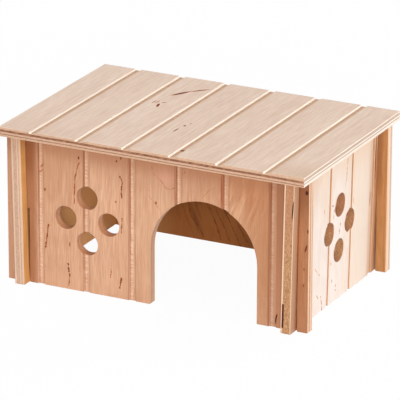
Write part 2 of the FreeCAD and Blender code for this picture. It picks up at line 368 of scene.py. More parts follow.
timber_vein, given, wanted = open_group(
    "timber_vein",
    {"Place": (0, 0, 0), "Start": (0, 0, 0), "End": (0, 1, 0), "Half Width": 0.2},
    ("Mask",))
tree = timber_vein
wobble = part_of(tree, grain_noise(tree, given["Place"], wobble_waves, 2.0, 0.6), wobble_reach)
shaken = push_aside(tree, given["Place"], wobble)
run = vector_calc(tree, "SUBTRACT", given["End"], given["Start"])
arm = vector_calc(tree, "SUBTRACT", shaken, given["Start"])
share = add(tree, "Math", {0: dot(tree, arm, run), 1: dot(tree, run, run)}, operation="DIVIDE",
            use_clamp=True).outputs[0]
nearest = add(tree, "VectorMath", {0: run, 3: share}, operation="SCALE").outputs[0]
apart = vector_calc(tree, "SUBTRACT", arm, nearest)
away = add(tree, "VectorMath", {0: apart}, operation="LENGTH").outputs[1]
thin = ease(tree, grain_noise(tree, given["Place"], break_waves, 2.0, 0.6), break_low, break_high)
broken = calc(tree, "ADD", times(tree, thin, thickening), thinnest)
reach = times(tree, given["Half Width"], broken)
close_group(tree, wanted, {"Mask": ease(tree, calc(tree, "DIVIDE", away, reach), 1.0, vein_core)})

# A part of a board between two corners, with its own fade over each of the four sides.
soft_box, given, wanted = open_group(
    "soft_box",
    {"Place": (0, 0, 0), "Low": (0, 0, 0), "High": (1, 1, 0), "Low Fade": (1, 1, 0),
     "High Fade": (1, 1, 0)},
    ("Mask",))
tree = soft_box
past_low = vector_calc(tree, "SUBTRACT", given["Place"], given["Low"])
past_low = vector_calc(tree, "DIVIDE", past_low, given["Low Fade"])
to_high = vector_calc(tree, "SUBTRACT", given["High"], given["Place"])
to_high = vector_calc(tree, "DIVIDE", to_high, given["High Fade"])
shares = [ease(tree, level_of(tree, side, axis), -1.0, 0.0)
          for side in (past_low, to_high) for axis in (0, 1)]
low_share = times(tree, shares[0], shares[1])
high_share = times(tree, shares[2], shares[3])
close_group(tree, wanted, {"Mask": times(tree, low_share, high_share)})

# Where a point lies in a milled groove, and the ladder that the cutter leaves on its floor.
# The strip at one side of each groove is painted light or shade: a painted highlight on the roof's
# grooves, painted shade on the walls'.
ladder_waves = (0.22, 2.3, 0.2)
ladder_slant = 0.12
shading_blur = 0.12        # in millimetres, as are the depths at which the painted strip starts and ends
shading_fade = 0.18
rim_start = 0.06
rim_sure = 0.28
root_start = 0.88
root_end = 0.98

groove_shade, given, wanted = open_group(
    "groove_shade",
    {"Place": (0, 0, 0), "Pitch": 24.5, "First Middle": 0.0, "Width": 3.4, "Shading From": -0.4,
     "Shading To": 0.5, "Floor From": 2.6, "Floor To": 0.9},
    ("Painted Shading", "Floor Share", "Ladder"))
tree = groove_shade
spot = add(tree, "SeparateXYZ", {0: given["Place"]}).outputs
from_first = calc(tree, "SUBTRACT", spot[0], given["First Middle"])
turns = calc(tree, "ROUND", calc(tree, "DIVIDE", from_first, given["Pitch"]))
from_middle = calc(tree, "SUBTRACT", from_first, times(tree, turns, given["Pitch"]))
from_left = calc(tree, "ADD", from_middle, times(tree, given["Width"], 0.5))
past_start = ease(tree, calc(tree, "SUBTRACT", from_left, given["Shading From"]),
                  -shading_blur, shading_blur)
before_end = ease(tree, calc(tree, "SUBTRACT", from_left, given["Shading To"]),
                  shading_fade, -shading_fade)
depth = times(tree, spot[2], -1.0)
milled_depth = times(tree, ease(tree, depth, rim_start, rim_sure),
                     ease(tree, depth, root_end, root_start))
floor_share = ease(tree, from_left, given["Floor From"], given["Floor To"])
slant = add(tree, "VectorRotate", {"Vector": given["Place"], "Angle": ladder_slant},
            rotation_type="Z_AXIS").outputs[0]
close_group(tree, wanted, {
    "Painted Shading": times(tree, times(tree, past_start, before_end), milled_depth),
    "Floor Share": floor_share, "Ladder": grain_noise(tree, slant, ladder_waves, 3.0, 0.65)})

to_mm = 1000
ladder_low = 0.38
ladder_high = 0.62
saw_angle = 0.7
saw_waves = (2.0, 0.8, 2.2)
drawn_waves = (0.5, 0.9, 3.5)
least_rough = 0.50
fibre_rough = 0.20
fibre_relief = 0.6
pore_relief = -0.35
ladder_relief = 0.8


def start_timber(name, across, along, outward, corner):
    """Starts a material with its board's own axes, in millimetres from a point of its face."""
    material = bpy.data.materials.new(name)
    tree = bare_tree(material)
    turn = Matrix((across, along, outward))
    shift = turn @ (Vector(corner) * -to_mm)
    spot = add(tree, "TexCoord")
    place = add(tree, "Mapping", {"Vector": spot.outputs["Object"], "Location": shift,
                                  "Rotation": turn.to_euler("XYZ"), "Scale": (to_mm,) * 3},
                vector_type="POINT")
    facing = add(tree, "Mapping", {"Vector": spot.outputs["Normal"],
                                   "Rotation": turn.to_euler("XYZ")}, vector_type="NORMAL")
    return {"material": material, "tree": tree, "place": place.outputs[0],
            "facing": facing.outputs[0]}


def lay_plies(board, glues, tones, grooves, figure, seed, drift=0.0, end_rise=0.0):
    """Builds a board's colour and relief: faces, plies on its edges and milled groove floors."""
    tree = board["tree"]
    place = board["place"]
    layers = place_group(tree, ply_layers, {
        "Place": place, "Facing": board["facing"], "First Glue": glues[0],
        "Second Glue": glues[1], "Third Glue": glues[2], "Fourth Glue": glues[3],
        "Drift": drift, "End Rise": end_rise})
    grain = place_group(tree, timber_figure, {
        "Place": place, "Seed": seed, "Sway": figure["sway"], "Growth Spread": figure["growth"]})
    milled = place_group(tree, groove_shade, {
        "Place": place, "Pitch": grooves["pitch"], "First Middle": grooves["first"],
        "Width": grooves["width"], "Shading From": grooves["shading_from"], "Shading To": grooves["nick_to"],
        "Floor From": grooves["floor_from"], "Floor To": grooves["floor_to"]})

    def blend(share, part):
        """A part's own tone, from its pale to its deep shade."""
        pale, deep = tones[part]
        return mix_tones(tree, share, tone(pale), tone(deep))

    fine = calc(tree, "ADD", part_of(tree, grain["Fibre"], figure["fibre"]),
                part_of(tree, grain["Pores"], figure["pores"]))
    broad = calc(tree, "ADD", part_of(tree, grain["Patches"], figure["patches"]),
                 part_of(tree, grain["Growth Bands"], figure["bands"]))
    deep = calc(tree, "ADD", calc(tree, "ADD", fine, broad), 0.5)
    face_tone = mix_tones(tree, times(tree, grain["Flecks"], figure["flecks"]),
                          blend(deep, "face"), tone(tones["fleck"]))

    sawn = add(tree, "VectorRotate", {"Vector": place, "Angle": saw_angle},
               rotation_type="X_AXIS").outputs[0]
    speckle = ease(tree, grain_noise(tree, sawn, saw_waves, 3.0, 0.75), grain_low, grain_high)
    drawn = ease(tree, grain_noise(tree, place, drawn_waves, 3.0, 0.7), grain_low, grain_high)
    long_ply = mix_tones(tree, layers["End Grain"], blend(deep, "long"), blend(speckle, "end"))
    cross_ply = mix_tones(tree, layers["End Grain"], blend(drawn, "cross"),
                          blend(speckle, "cross_end"))
    ply_tone = mix_tones(tree, layers["Cross Ply"], long_ply, cross_ply)
    ply_tone = mix_tones(tree, times(tree, layers["Glue Line"], figure["glue"]),
                         ply_tone, tone(tones["glue"]))

    ladder = ease(tree, milled["Ladder"], ladder_low, ladder_high)
    floor_share = times(tree, milled["Floor Share"], grooves["floor"])
    floor_tone = mix_tones(tree, floor_share, face_tone, blend(ladder, "floor"))

    colour = mix_tones(tree, layers["Face"], ply_tone, face_tone)
    colour = mix_tones(tree, layers["Back"], colour, blend(deep, "back"))
    board["colour"] = mix_tones(tree, layers["Groove Floor"], colour, floor_tone)
    # The painted light or shade at one side of each groove; on the walls it deepens towards the
    # top, under the roof.
    rising = add(tree, "MapRange", {
        "Value": level_of(tree, place, 1), "From Min": grooves["shading_foot"],
        "From Max": grooves["shading_head"], "To Min": grooves["shading_low"],
        "To Max": grooves["shading_high"]}).outputs[0]
    not_back = calc(tree, "SUBTRACT", 1.0, layers["Back"])
    board["nick"] = times(tree, times(tree, milled["Painted Shading"], rising), not_back)
    board["nick_tone"] = tone(tones["nick"])
    board["pale"] = tone(tones["face"][0])
    board["layers"] = layers

    relief = calc(tree, "ADD", times(tree, grain["Fibre"], fibre_relief),
                  times(tree, grain["Pores"], pore_relief))
    rungs = times(tree, ladder, times(tree, layers["Groove Floor"], ladder_relief))
    board["relief"] = calc(tree, "ADD", relief, rungs)
    board["rough"] = calc(tree, "ADD", least_rough, times(tree, grain["Fibre"], fibre_rough))


edge_start = 0.5
edge_sure = 0.9
floor_takes = 0.5      # a groove's floor takes half of what is laid on the milled face


def side_share(board, side):
    """Which part of a board something shows on: a layer, the milled face, or one end across."""
    tree = board["tree"]
    layers = board["layers"]
    if side in ("low end", "high end"):
        beside = level_of(tree, board["facing"], 0)
        sign = -1.0 if side == "low end" else 1.0
        return ease(tree, times(tree, beside, sign), edge_start, edge_sure)
    if side == "Edge":
        sheets = calc(tree, "ADD", layers["Face"], layers["Back"])
        return calc(tree, "SUBTRACT", 1.0, calc(tree, "ADD", sheets, layers["Groove Floor"]))
    if side == "Milled Face":
        return calc(tree, "ADD", layers["Face"], times(tree, layers["Groove Floor"], floor_takes))
    return layers[side]


def side_place(board, side):
    """The place on that part, as (across, along, 0) or, at an end, as (outward, along, 0)."""
    parts = add(board["tree"], "SeparateXYZ", {0: board["place"]}).outputs
    level = parts[2] if "end" in side else parts[0]
    return add(board["tree"], "CombineXYZ", {0: level, 1: parts[1], 2: 0.0}).outputs[0]


def on_side(board, side, share, strength):
    """The share of a change on one part of a board, at its strength."""
    tree = board["tree"]
    return times(tree, times(tree, share, side_share(board, side)), strength)


def lay_shade(board, side, share, strength, shade):
    """Tones one part of a board towards a shade."""
    share = on_side(board, side, share, strength)
    board["colour"] = mix_tones(board["tree"], share, board["colour"], tone(shade))


stain_push = (1.2, 0.80, 0.45)    # how much redder a stain is set, for the sheen over it


def stain_and_shade(board, side, share, strength, shade):
    """Darkens one part of a board as a stain in timber does, which is redder where it is thin; also
    lays painted shade in gaps.
    """
    tree = board["tree"]
    share = on_side(board, side, share, strength)
    dye = [min(dark / light * push, 1.0)
           for dark, light, push in zip(tone(shade), board["pale"], stain_push)]
    film = add(tree, "Gamma", {0: (*dye, 1.0), 1: share})
    board["colour"] = mix_tones(tree, 1.0, board["colour"], film.outputs[0], mode="MULTIPLY")


def mark_share(board, side, where, half, turn, bend, softness, ragged, square=0.0):
    """The share of one mark or cloud, of the timber or of painted shade; its top leans to the high
    side by the turn in degrees.
    """
    made = place_group(board["tree"], timber_and_shade_mark, {
        "Place": side_place(board, side), "Centre": (*where, 0), "Half Width": half[0],
        "Half Length": half[1], "Turn": math.radians(turn), "Bend": bend, "Softness": softness,
        "Ragged": ragged, "Square": square})
    return made["Mask"]


pin_knot = (105, 52, 26)


def mark(board, where, half, shade=pin_knot, strength=0.85, turn=0.0, bend=0.0, side="Face",
         softness=0.55, ragged=0.4, square=0.0):
    """Adds one mark, such as a fleck, streak or knot, or painted shade in a gap, at (across, along)
    millimetres.
    """
    share = mark_share(board, side, where, half, turn, bend, softness, ragged, square)
    stain_and_shade(board, side, share, strength, shade)


def cloud(board, where, half, shade, strength, turn=0.0, side="Milled Face"):
    """A broad change of colour with no edge to it: a tone of the timber, or painted shade or light.
    """
    share = mark_share(board, side, where, half, turn, bend=0.0, softness=1.0, ragged=0.25)
    lay_shade(board, side, share, strength, shade)


def band(board, low, high, shade, strength, low_fade=(1, 1), high_fade=(1, 1), side="Milled Face"):
    """Tones the part between two corners: painted shade beside a joint or under the roof, or a tone
    of the timber.
    """
    made = place_group(board["tree"], soft_box, {
        "Place": side_place(board, side), "Low": (*low, -1), "High": (*high, 1),
        "Low Fade": (*low_fade, 1), "High Fade": (*high_fade, 1)})
    lay_shade(board, side, made["Mask"], strength, shade)


under_foot = -5        # millimetres along a wall, past its foot and past its head
over_head = 80


def stripe(board, low, high, shade, strength, low_fade=1, high_fade=1, side="Milled Face"):
    """A band that runs the whole height of a wall."""
    band(board, (low, under_foot), (high, over_head), shade, strength, (low_fade, 1),
         (high_fade, 1), side)


def vein(board, points, half_width, shade, strength, side="Face"):
    """A fine dark vein that runs through a row of points."""
    tree = board["tree"]
    place = side_place(board, side)
    share = 0.0
    for start, end in zip(points, points[1:]):
        piece = place_group(tree, timber_vein, {
            "Place": place, "Start": (*start, 0), "End": (*end, 0), "Half Width": half_width})
        share = calc(tree, "MAXIMUM", share, piece["Mask"])
    stain_and_shade(board, side, share, strength, shade)


grain_height = 0.00006
bump_strength = 0.6
wood_specular = 0.3
sheen_rough = 0.5


def finish_timber(board, node_name, sheen):
    """Closes a board's material and puts it on its CAD node."""
    tree = board["tree"]
    # Lays the painted light and shade at the grooves' sides over the colour.
    colour = mix_tones(tree, board["nick"], board["colour"], board["nick_tone"])
    bump = add(tree, "Bump", {"Height": board["relief"], "Strength": bump_strength,
                              "Distance": grain_height})
    wood = add(tree, "BsdfPrincipled", {
        "Base Color": colour, "Roughness": board["rough"], "Normal": bump.outputs[0],
        "Specular IOR Level": wood_specular, "Sheen Weight": sheen, "Sheen Roughness": sheen_rough})
    add(tree, "OutputMaterial", {"Surface": wood.outputs[0]})
    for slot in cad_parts[node_name].material_slots:
        slot.material = board["material"]


# Geometry nodes that choose what the sandpaper reaches: outward edges, and no inner corner.
outward_edges = bpy.data.node_groups.new("outward_edges", "GeometryNodeTree")
sockets = outward_edges.interface
sockets.new_socket("Board", in_out="INPUT", socket_type="NodeSocketGeometry")
least_turn = sockets.new_socket("Least Turn", in_out="INPUT", socket_type="NodeSocketFloat")
least_turn.default_value = math.radians(50)
sockets.new_socket("Board", in_out="OUTPUT", socket_type="NodeSocketGeometry")
edges_in = outward_edges.nodes.new("NodeGroupInput")
edges_out = outward_edges.nodes.new("NodeGroupOutput")
edge_turn = outward_edges.nodes.new("GeometryNodeInputMeshEdgeAngle")
sharp_outward = outward_edges.nodes.new("ShaderNodeMath")
sharp_outward.operation = "GREATER_THAN"
keep_share = outward_edges.nodes.new("GeometryNodeStoreNamedAttribute")
keep_share.data_type = "FLOAT"
keep_share.domain = "EDGE"
keep_share.inputs["Name"].default_value = "bevel_weight_edge"
for start, end in ((edges_in.outputs["Board"], keep_share.inputs["Geometry"]),
                   (edge_turn.outputs["Signed Angle"], sharp_outward.inputs[0]),
                   (edges_in.outputs["Least Turn"], sharp_outward.inputs[1]),
                   (sharp_outward.outputs[0], keep_share.inputs["Value"]),
                   (keep_share.outputs["Geometry"], edges_out.inputs["Board"])):
    outward_edges.links.new(start, end)

weld_reach = 0.00001
flat_angle = math.radians(1.0)
arris_radius = 0.00025
arris_steps = 3


def sand_arrises(node_name):
    """Takes the sharpness off a board's outward edges, as a quick pass with sandpaper does."""
    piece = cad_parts[node_name]
    weld = piece.modifiers.new("joined_facets", "WELD")
    weld.merge_threshold = weld_reach
    flat = piece.modifiers.new("flat_faces", "DECIMATE")
    flat.decimate_type = "DISSOLVE"
    flat.angle_limit = flat_angle
    choose = piece.modifiers.new("outward_edges", "NODES")
    choose.node_group = outward_edges
    edge = piece.modifiers.new("sanded_arris", "BEVEL")
    edge.width = arris_radius
    edge.segments = arris_steps
    edge.limit_method = "WEIGHT"
    edge.use_clamp_overlap = False
    shade = piece.modifiers.new("even_shading", "WEIGHTED_NORMAL")
    shade.keep_sharp = True


side_splay = math.radians(1.1)
side_foot = 0.073
# Each side groove has painted shade on its far side, from 2.7 to 3.8 mm across and deeper towards
# the top, in the last of the tones below.
side_grooves = dict(pitch=24.5, first=-36.75, width=3.4, shading_from=2.7, nick_to=3.8, shading_foot=0.0,
                    shading_head=70.0, shading_low=0.75, shading_high=0.95, floor_from=1.0, floor_to=2.6,
                    floor=0.0)
side_tones = dict(
    face=((238, 229, 224), (221, 205, 195)), long=((236, 208, 184), (222, 188, 160)),
    end=((214, 170, 136), (186, 136, 102)), cross=((200, 150, 116), (170, 118, 86)),
    cross_end=((212, 184, 160), (184, 150, 124)), floor=((222, 190, 162), (204, 168, 138)),
    fleck=(180, 135, 100), glue=(150, 104, 76), nick=(190, 146, 110))
side_figure = dict(sway=3.0, growth=9.0, fibre=1.4, pores=0.4, patches=0.6, bands=0.2, flecks=0.3,
                   glue=0.25)
side_sheen = 0.03

right_glues = (0.42, 4.35, 9.0, 9.5)     # two faces on a thick core; the last two lie past it
right_tones = dict(side_tones, back=((242, 204, 156), (226, 184, 134)),
                   cross_end=((200, 154, 112), (152, 106, 70)))
right_wall = start_timber(
    "right_wall_plywood", (0, 1, 0), (math.sin(side_splay), 0, math.cos(side_splay)),
    (math.cos(side_splay), 0, -math.sin(side_splay)), (side_foot, 0, 0))
lay_plies(right_wall, right_glues, right_tones, side_grooves, side_figure, seed=3.0)
# Darker towards the back wall, deepest beside its horn: painted shadow of the back wall's horn.
stripe(right_wall, 14.0, 37.0, (226, 204, 184), 0.6, low_fade=16.0, high_fade=2.0)
stripe(right_wall, 34.5, 42.3, (216, 176, 144), 0.8, low_fade=2.5)
stripe(right_wall, 38.2, 42.3, (188, 138, 100), 0.8, low_fade=2.2)
stripe(right_wall, 41.2, 43.0, (150, 98, 60), 0.45, low_fade=1.2)
band(right_wall, (-17.5, 46.0), (17.5, 55.0), (166, 106, 72), 0.55, low_fade=(1, 22),
     side="End Grain")
# The horn's strip in front of the front wall is darker, deepest at the front wall: painted shadow
# of the front wall's horn; past it, painted shade inside the slot.
stripe(right_wall, -60.0, -46.9, (188, 145, 113), 0.95)
stripe(right_wall, -49.0, -46.9, (160, 108, 74), 0.25, low_fade=1.6)
stripe(right_wall, -47.6, -40.0, (176, 116, 76), 0.85, low_fade=0.6)
# Darker towards the top and the front, under the roof: painted shade.
band(right_wall, (-46.9, 72.0), (50.0, over_head), (222, 194, 168), 0.55, low_fade=(1, 20))
cloud(right_wall, (-16.0, 54.0), (14.0, 20.0), (222, 196, 170), 0.5)
cloud(right_wall, (-36.0, 66.0), (20.0, 28.0), (206, 172, 144), 0.45)
for points, half_width, shade, strength in (
        (((7.1, 69.2), (6.6, 64.0), (6.3, 58.6), (4.2, 53.8)), 0.3, (150, 100, 66), 0.75),
        (((-26.7, 24.3), (-23.5, 21.0), (-21.0, 19.0)), 0.3, (178, 138, 104), 0.6),
        (((-24.1, 10.1), (-22.1, 7.6)), 0.3, (168, 128, 96), 0.7),
        (((-19.2, 7.8), (-17.8, 3.0), (-17.6, 0.0)), 0.32, (120, 74, 46), 0.8),
        (((0.8, 38.0), (0.6, 36.9), (-0.3, 32.9)), 0.35, (140, 90, 56), 0.85)):
    vein(right_wall, points, half_width, shade, strength)
mark(right_wall, (-8.5, 49.8), (0.6, 0.7), (90, 55, 35), 0.8)
for where, half, shade in (
        ((-6.7, 46.8), (0.4, 1.2), (150, 105, 74)), ((-7.6, 44.0), (0.35, 1.6), (190, 150, 116)),
        ((-17.9, 49.9), (0.4, 1.4), (196, 160, 128)), ((-8.6, 20.6), (0.5, 1.0), (200, 164, 134)),
        ((-7.0, 11.4), (0.5, 1.2), (186, 146, 112)), ((-2.6, 7.6), (0.45, 0.9), (170, 128, 94)),
        ((-2.5, 5.2), (0.45, 0.6), (160, 116, 84)), ((15.2, 45.0), (0.4, 2.2), (204, 170, 140))):
    mark(right_wall, where, half, shade)
mark(right_wall, (36.0, 63.5), (0.55, 3.4), (96, 56, 36), ragged=0.9)
mark(right_wall, (36.3, 56.0), (0.5, 3.0), (110, 66, 42), ragged=0.9)
mark(right_wall, (34.8, 39.5), (0.75, 4.6), (112, 66, 40), ragged=0.6)
# Painted shade: in the gap below the back wall's horn, and in the corner beside it near the top.
mark(right_wall, (41.3, 18.0), (0.3, 18.0), (110, 58, 28), 0.4, ragged=0.1)
mark(right_wall, (39.6, 60.0), (0.7, 16.0), (140, 88, 54), 0.7, ragged=1.0)
band(right_wall, (-4.4, 62), (-0.4, over_head), (176, 122, 93), 0.55, (0.2, 30), (0.2, 1),
     "low end")
mark(right_wall, (-4.13, 8.7), (0.53, 6.2), (92, 44, 20), 0.98, side="low end", softness=0.12,
     ragged=0.05, square=1.0)
mark(right_wall, (-0.6, 61.6), (0.42, 5.6), (60, 24, 10), 1.0, turn=3, side="low end", ragged=0.3)
finish_timber(right_wall, "right_wall", side_sheen)
sand_arrises("right_wall")

left_glues = (1.05, 2.85, 3.6, 4.05)
left_tones = dict(side_tones, back=((215, 161, 98), (182, 127, 71)),
                  cross_end=((212, 180, 158), (182, 146, 124)))
left_wall = start_timber(
    "left_wall_plywood", (0, -1, 0), (-math.sin(side_splay), 0, math.cos(side_splay)),
    (-math.cos(side_splay), 0, -math.sin(side_splay)), (-side_foot, 0, 0))
lay_plies(left_wall, left_glues, left_tones, side_grooves, side_figure, seed=7.0)
# Paler inside the house: painted light, for light through the door and vents.
stripe(left_wall, -41.5, 41.5, (255, 192, 128), 0.95, side="Back")
# Painted shade in the corner where the horn's inner face meets the front wall.
band(left_wall, (46.0, 8), (47.3, over_head), (112, 60, 28), 0.65, (1, 8), (0.5, 1), "Back")
stripe(left_wall, -8.0, 3.0, (190, 150, 124), 0.35, side="high end")
# Darker at the top, under the roof: painted shade on the horn's end and inner face.
band(left_wall, (-8.0, 72), (3.0, over_head), (160, 116, 86), 0.3, low_fade=(1, 14),
     side="high end")
band(left_wall, (46.0, 72), (60.0, over_head), (140, 88, 50), 0.35, low_fade=(1, 14), side="Back")
mark(left_wall, (-14.0, 22.0), (0.5, 4.0), (175, 130, 95), turn=-8)
mark(left_wall, (27.0, 51.0), (0.7, 2.0), (150, 100, 70))
finish_timber(left_wall, "left_wall", side_sheen)
sand_arrises("left_wall")

# --------------------------------------
# Front wall
# A board of the same plywood, its face set browner: partly its veneer, partly painted shade for
# the dimmer, warmer light on the front. It drops over both side walls, which pass through its
# lower slots, and has the arched doorway and one ring of vents.
# --------------------------------------


streak_low = 0.47
streak_high = 0.62


def streaks(board, where, half, turn, width, length, shade, strength, seed, side="Face"):
    """Slanted streaks of another tone in one part of a board, as in flame figure."""
    tree = board["tree"]
    region = mark_share(board, side, where, half, turn=0.0, bend=0.0, softness=0.9, ragged=0.3)
    slanted = add(tree, "VectorRotate", {
        "Vector": side_place(board, side), "Angle": math.radians(turn)},
        rotation_type="Z_AXIS").outputs[0]
    shifted = vector_calc(tree, "ADD", slanted, (seed, seed, seed))
    drawn = grain_noise(tree, shifted, (1 / width, 1 / length, 1.0), 3.0, 0.55)
    share = times(tree, region, ease(tree, drawn, streak_low, streak_high))
    lay_shade(board, side, share, strength, shade)


front_face = -0.04695
front_glues = (1.1, 2.6, 3.6, 4.2)
# The face tones are browner than the side walls': partly the veneer, partly painted shade for the
# dimmer, warmer light on the front.
front_tones = dict(
    face=((217, 173, 142), (184, 134, 102)), back=((240, 196, 146), (222, 174, 122)),
    long=((238, 208, 182), (224, 190, 164)), end=((220, 172, 138), (196, 144, 110)),
    cross=((206, 156, 122), (182, 128, 94)), cross_end=((208, 162, 130), (186, 138, 106)),
    floor=((255, 224, 200), (208, 156, 124)), fleck=(140, 85, 50), glue=(140, 92, 62),
    nick=(146, 86, 52))
front_figure = dict(sway=4.0, growth=11.0, fibre=1.4, pores=0.4, patches=0.6, bands=0.2,
                    flecks=0.3, glue=0.3)
# Each front groove has painted shade in its left corner, from -0.4 to 0.75 mm across and deeper
# towards the top, in the last of the front tones.
front_grooves = dict(pitch=24.5, first=-61.25, width=3.4, shading_from=-0.4, nick_to=0.75,
                     shading_foot=0.0, shading_head=72.0, shading_low=0.4, shading_high=0.9, floor_from=2.7,
                     floor_to=1.0, floor=0.6)
front_sheen = 0.02
front_wall = start_timber(
    "front_wall_plywood", (1, 0, 0), (0, 0, 1), (0, -1, 0), (0, front_face, 0))
lay_plies(front_wall, front_glues, front_tones, front_grooves, front_figure, seed=11.0)
# The first row is painted shade under the roof; the second, darker towards the right horn, is
# partly the timber's browner tone, partly painted shade; the last row is painted light, paler
# towards the foot.
for where, half, shade, strength in (
        ((-5.0, 84.0), (120.0, 38.0), (168, 120, 90), 0.85),
        ((62.0, 40.0), (30.0, 80.0), (170, 112, 72), 0.78),
        ((45.0, 65.0), (32.0, 20.0), (172, 114, 76), 0.6),
        ((5.0, 66.0), (8.0, 7.0), (210, 153, 130), 0.6),
        ((-2.0, 30.0), (16.0, 40.0), (206, 158, 124), 0.3),
        ((-7.0, 67.0), (16.0, 10.0), (188, 140, 108), 0.4),
        ((-54.0, 58.0), (22.0, 30.0), (182, 130, 94), 0.45),
        ((-40.0, 4.0), (40.0, 14.0), (232, 186, 154), 0.2)):
    cloud(front_wall, where, half, shade, strength)
for where, half, turn, width, length, shade, strength, seed in (
        ((-48.0, 36.0), (16.0, 44.0), 7, 0.9, 26.0, (190, 130, 96), 0.4, 21.0),
        ((-24.0, 36.0), (14.0, 44.0), 3, 0.8, 30.0, (196, 138, 104), 0.35, 27.0),
        ((-36.0, 36.0), (30.0, 44.0), 5, 0.7, 24.0, (244, 198, 164), 0.35, 33.0),
        ((44.0, 60.0), (20.0, 20.0), 20, 3.2, 26.0, (234, 190, 150), 0.35, 0.0),
        ((47.0, 56.0), (16.0, 22.0), 20, 3.0, 26.0, (172, 106, 62), 0.6, 7.0),
        ((52.0, 22.0), (8.0, 26.0), 10, 1.6, 20.0, (184, 124, 84), 0.4, 13.0)):
    streaks(front_wall, where, half, turn, width, length, shade, strength, seed)
band(front_wall, (-57.0, 12.0), (-16.0, 60.0), (196, 136, 98), 0.7, side="Edge")
band(front_wall, (-4.0, under_foot), (54.0, 58.0), (200, 153, 124), 0.6, side="Edge")
# Darker at the top: painted shade under the roof's overhang.
band(front_wall, (-90, 70.0), (90, over_head), (168, 112, 78), 0.45, low_fade=(1, 7))
# Darker beside the left horn, deepest at the top: painted shade in the recess.
band(front_wall, (-72.0, 64.0), (-66.8, over_head), (108, 58, 28), 0.85, (1, 16), (4, 1))
stripe(front_wall, -72.0, -66.0, (150, 92, 55), 0.75, high_fade=5.0)
stripe(front_wall, -90, -73.4, (198, 144, 112), 0.65, high_fade=1.5)
# Darker at the top: painted shade under the roof.
band(front_wall, (-90, 72), (-73.4, over_head), (150, 98, 70), 0.4, (1, 14), (1.5, 1))
# Darker between the last groove and the right horn, deepest at the top: painted shade in the
# recess.
band(front_wall, (63.2, 60), (68, over_head), (120, 70, 42), 0.8, low_fade=(0.4, 50))
stripe(front_wall, 63.2, 68, (190, 132, 98), 0.6, low_fade=0.4)
# The right end beyond the side wall is darker: partly its own browner tone, partly painted shade
# beside the side wall's horn; darker still at the top, painted shade under the roof.
stripe(front_wall, 73.0, 82.0, (160, 104, 66), 0.75)
band(front_wall, (73, 66), (80, over_head), (128, 78, 46), 0.7, low_fade=(1, 18))
for width, length, shade, strength, seed in ((0.8, 11.0, (138, 84, 50), 0.45, 41.0),
                                             (0.9, 14.0, (206, 150, 108), 0.25, 47.0)):
    streaks(front_wall, (77.5, 30.0), (5.0, 50.0), 0, width, length, shade, strength, seed)
# Darker along each groove's left edge: painted shade, widening the painted strip in the groove's
# corner.
for plank_edge, reach, strength in ((-38.45, 0.3, 0.5), (-13.95, 0.4, 0.6), (10.55, 0.6, 0.75),
                                    (35.05, 1.3, 0.8), (59.55, 0.9, 0.8)):
    stripe(front_wall, plank_edge - 0.3, plank_edge + 0.05, (150, 88, 54), strength, reach, 0.1)
# Painted shade in the slot and gap where the right side wall passes through.
stripe(front_wall, 72.4, 74.6, (186, 124, 84), 0.9, 0.3, 0.3, side="Edge")
mark(front_wall, (74.0, 36.0), (0.4, 42.0), (140, 80, 46), 0.4, turn=1.1, softness=0.5, ragged=0.1,
     square=1.0)
# Painted shade in the gap of the left slot.
mark(front_wall, (-67.85, 24.0), (0.42, 13.5), (20, 2, 0), 1.0, softness=0.5, ragged=0.1)
crown_vein = (150, 98, 74)
for points, half_width, shade, strength in (
        (((-1.8, 69.3), (-1.6, 67.6), (-0.3, 65.3), (1.4, 63.9), (3.2, 62.9), (4.5, 61.0),
          (5.9, 59.6), (8.1, 59.5), (10.1, 60.7)), 0.2, (150, 92, 54), 0.6),
        (((-3.3, 57.6), (-3.0, 53.9), (-0.4, 51.3), (2.3, 48.4)), 0.18, crown_vein, 0.45),
        (((13.0, 66.2), (15.7, 69.6)), 0.2, crown_vein, 0.45),
        (((25.5, 59.0), (27.6, 61.9), (30.9, 64.1)), 0.18, crown_vein, 0.45),
        (((-40.5, 64.9), (-41.8, 61.5), (-42.9, 55.4), (-43.2, 44.3)), 0.34, (130, 66, 36), 0.7),
        (((-58.8, 19.5), (-58.0, 25.5), (-57.2, 31.0)), 0.5, (118, 54, 26), 0.8),
        (((-18.6, 61.0), (-17.5, 58.9), (-17.9, 55.5), (-17.8, 51.0)), 0.45, (112, 54, 28), 0.85),
        (((-17.6, 40.7), (-18.0, 36.0), (-18.0, 33.4)), 0.4, (126, 64, 36), 0.7),
        (((-46.9, 13.0), (-46.4, 9.0)), 0.51, (92, 44, 20), 0.9),
        (((-46.0, 7.8), (-46.5, 2.0)), 0.39, (110, 48, 20), 0.78),
        (((-23.2, 18.7), (-24.0, 10.0)), 0.39, (130, 68, 38), 0.63),
        (((-18.1, 10.4), (-19.1, 5.5)), 0.54, (110, 46, 20), 0.88)):
    vein(front_wall, points, half_width, shade, strength)
for where, half, strength in (
        ((-40.7, 67.4), (0.5, 1.0), 0.95), ((-59.0, 48.6), (0.45, 1.0), 0.85),
        ((-59.8, 9.7), (0.45, 1.0), 0.85), ((-45.8, 23.0), (0.4, 1.6), 0.6),
        ((-20.5, 69.0), (0.5, 0.7), 0.85), ((-18.2, 71.0), (0.35, 1.2), 0.85),
        ((-18.7, 61.4), (0.5, 0.7), 0.95), ((-21.0, 48.6), (0.5, 0.7), 0.6),
        ((-32.6, 26.0), (0.4, 0.7), 0.6), ((0.3, 51.6), (0.5, 0.9), 0.9)):
    mark(front_wall, where, half, pin_knot, strength)
mark(front_wall, (34.9, 62.5), (0.6, 8.0), (176, 108, 66), 0.7)
mark(front_wall, (30.6, 54.0), (0.35, 2.2), (150, 90, 60), 0.7, turn=28)
mark(front_wall, (-60.8, 60.2), (0.7, 2.0), (150, 96, 70), 0.5, turn=40, side="Groove Floor")
